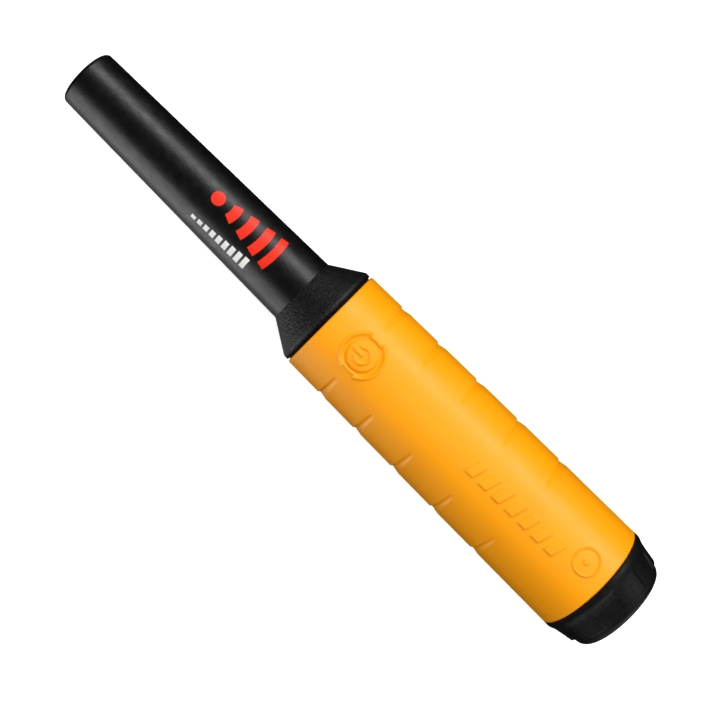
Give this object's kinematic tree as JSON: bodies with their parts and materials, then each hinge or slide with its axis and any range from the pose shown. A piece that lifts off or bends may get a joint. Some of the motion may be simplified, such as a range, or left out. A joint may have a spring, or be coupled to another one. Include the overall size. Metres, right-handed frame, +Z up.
{
  "type": "pinpointer probe",
  "caption": "Hand-held metal-detecting probe: tapered closed tube, flared nose cone, notched rubber grip with a round power button, and a ribbed screw-on battery cap.",
  "frame": {"origin": "under the middle of the probe's length, on the surface that it rests on", "axes": "+X from the sensing tip to the battery cap, +Z up out of the power button, Y across the grip"},
  "size_m": [0.237, 0.0402, 0.0409],
  "materials": {
    "tube_abs": "satin moulded plastic",
    "cone_abs": "fine-grained moulded plastic",
    "barrel_abs": "plain moulded plastic",
    "grip_rubber": "soft matt rubber, yellow-orange",
    "cap_abs": "grained moulded plastic",
    "seal_rubber": "smooth seal rubber",
    "plunger_nylon": "natural nylon",
    "board_laminate": "solder-masked glass laminate",
    "chip_resin": "moulded resin",
    "plated_steel": "nickel plated",
    "tungsten_weight": "sintered heavy metal",
    "piezo_brass": "rolled brass",
    "ferrite": "sintered ferrite",
    "copper_winding": "enamelled copper wire",
    "lead_insulation": "PVC insulation",
    "battery_jacket": "printed metal jacket",
    "foam": "closed-cell foam"
  },
  "bodies": {
    "handle": {"amplifier_chip_1": "chip_resin", "amplifier_chip_2": "chip_resin", "barrel": "barrel_abs", "battery": "battery_jacket", "battery_cup": "plated_steel", "battery_lead_1": "lead_insulation", "battery_lead_2": "lead_insulation", "battery_plug": "plunger_nylon", "battery_stud": "plated_steel", "board_tray": "barrel_abs", "capacitor_1": "chip_resin", "capacitor_2": "chip_resin", "capacitor_3": "chip_resin", "centring_ring_front": "plunger_nylon", "centring_ring_rear": "plunger_nylon", "coil_former": "plunger_nylon", "coil_lead_1": "lead_insulation", "coil_lead_2": "lead_insulation", "coil_plug": "plunger_nylon", "contact_board": "board_laminate", "contact_cup": "plated_steel", "contact_stud": "plated_steel", "crystal": "plated_steel", "ferrite_rod": "ferrite", "grip_sleeve": "grip_rubber", "main_board": "board_laminate", "motor_can": "plated_steel", "motor_cradle": "barrel_abs", "nose_cone": "cone_abs", "nose_ring": "seal_rubber", "probe_tube": "tube_abs", "processor_chip": "chip_resin", "sense_winding_front": "copper_winding", "sense_winding_rear": "copper_winding", "sounder_case": "barrel_abs", "sounder_disc": "piezo_brass", "switch_body": "chip_resin", "transmit_winding": "copper_winding", "tray_screw_1": "plated_steel", "tray_screw_2": "plated_steel", "tray_screw_3": "plated_steel", "tray_screw_4": "plated_steel"},
    "button": {"button_pad": "grip_rubber", "button_plunger": "plunger_nylon", "switch_stem": "plunger_nylon"},
    "pusher": {"thrust_washer": "plunger_nylon", "foam_pad": "foam"},
    "cap": {"battery_cap": "cap_abs", "cap_ring": "seal_rubber"},
    "rotor": {"motor_shaft": "plated_steel", "motor_weight": "tungsten_weight"}
  },
  "joints": [
    {"name": "power_button", "type": "slide", "parent": "handle", "child": "button", "axis": [0, 0, -1], "range_m": [0, 0.0008], "stiffness_N_per_m": 400},
    {"name": "cap_travel", "type": "slide", "parent": "handle", "child": "pusher", "axis": [1, 0, 0], "range_m": [0, 0.012]},
    {"name": "cap_turn", "type": "hinge", "parent": "pusher", "child": "cap", "pos_m": [0.1111, 0, 0.0203], "axis": [1, 0, 0], "range_deg": [0, 1440]},
    {"name": "motor_spin", "type": "hinge", "parent": "handle", "child": "rotor", "pos_m": [0.0167, 0, 0.0179], "axis": [1, 0, 0], "continuous": true}
  ],
  "couplings": [
    {"joint": "cap_turn", "follows": "cap_travel", "rad_per_m": 2094.4}
  ]
}
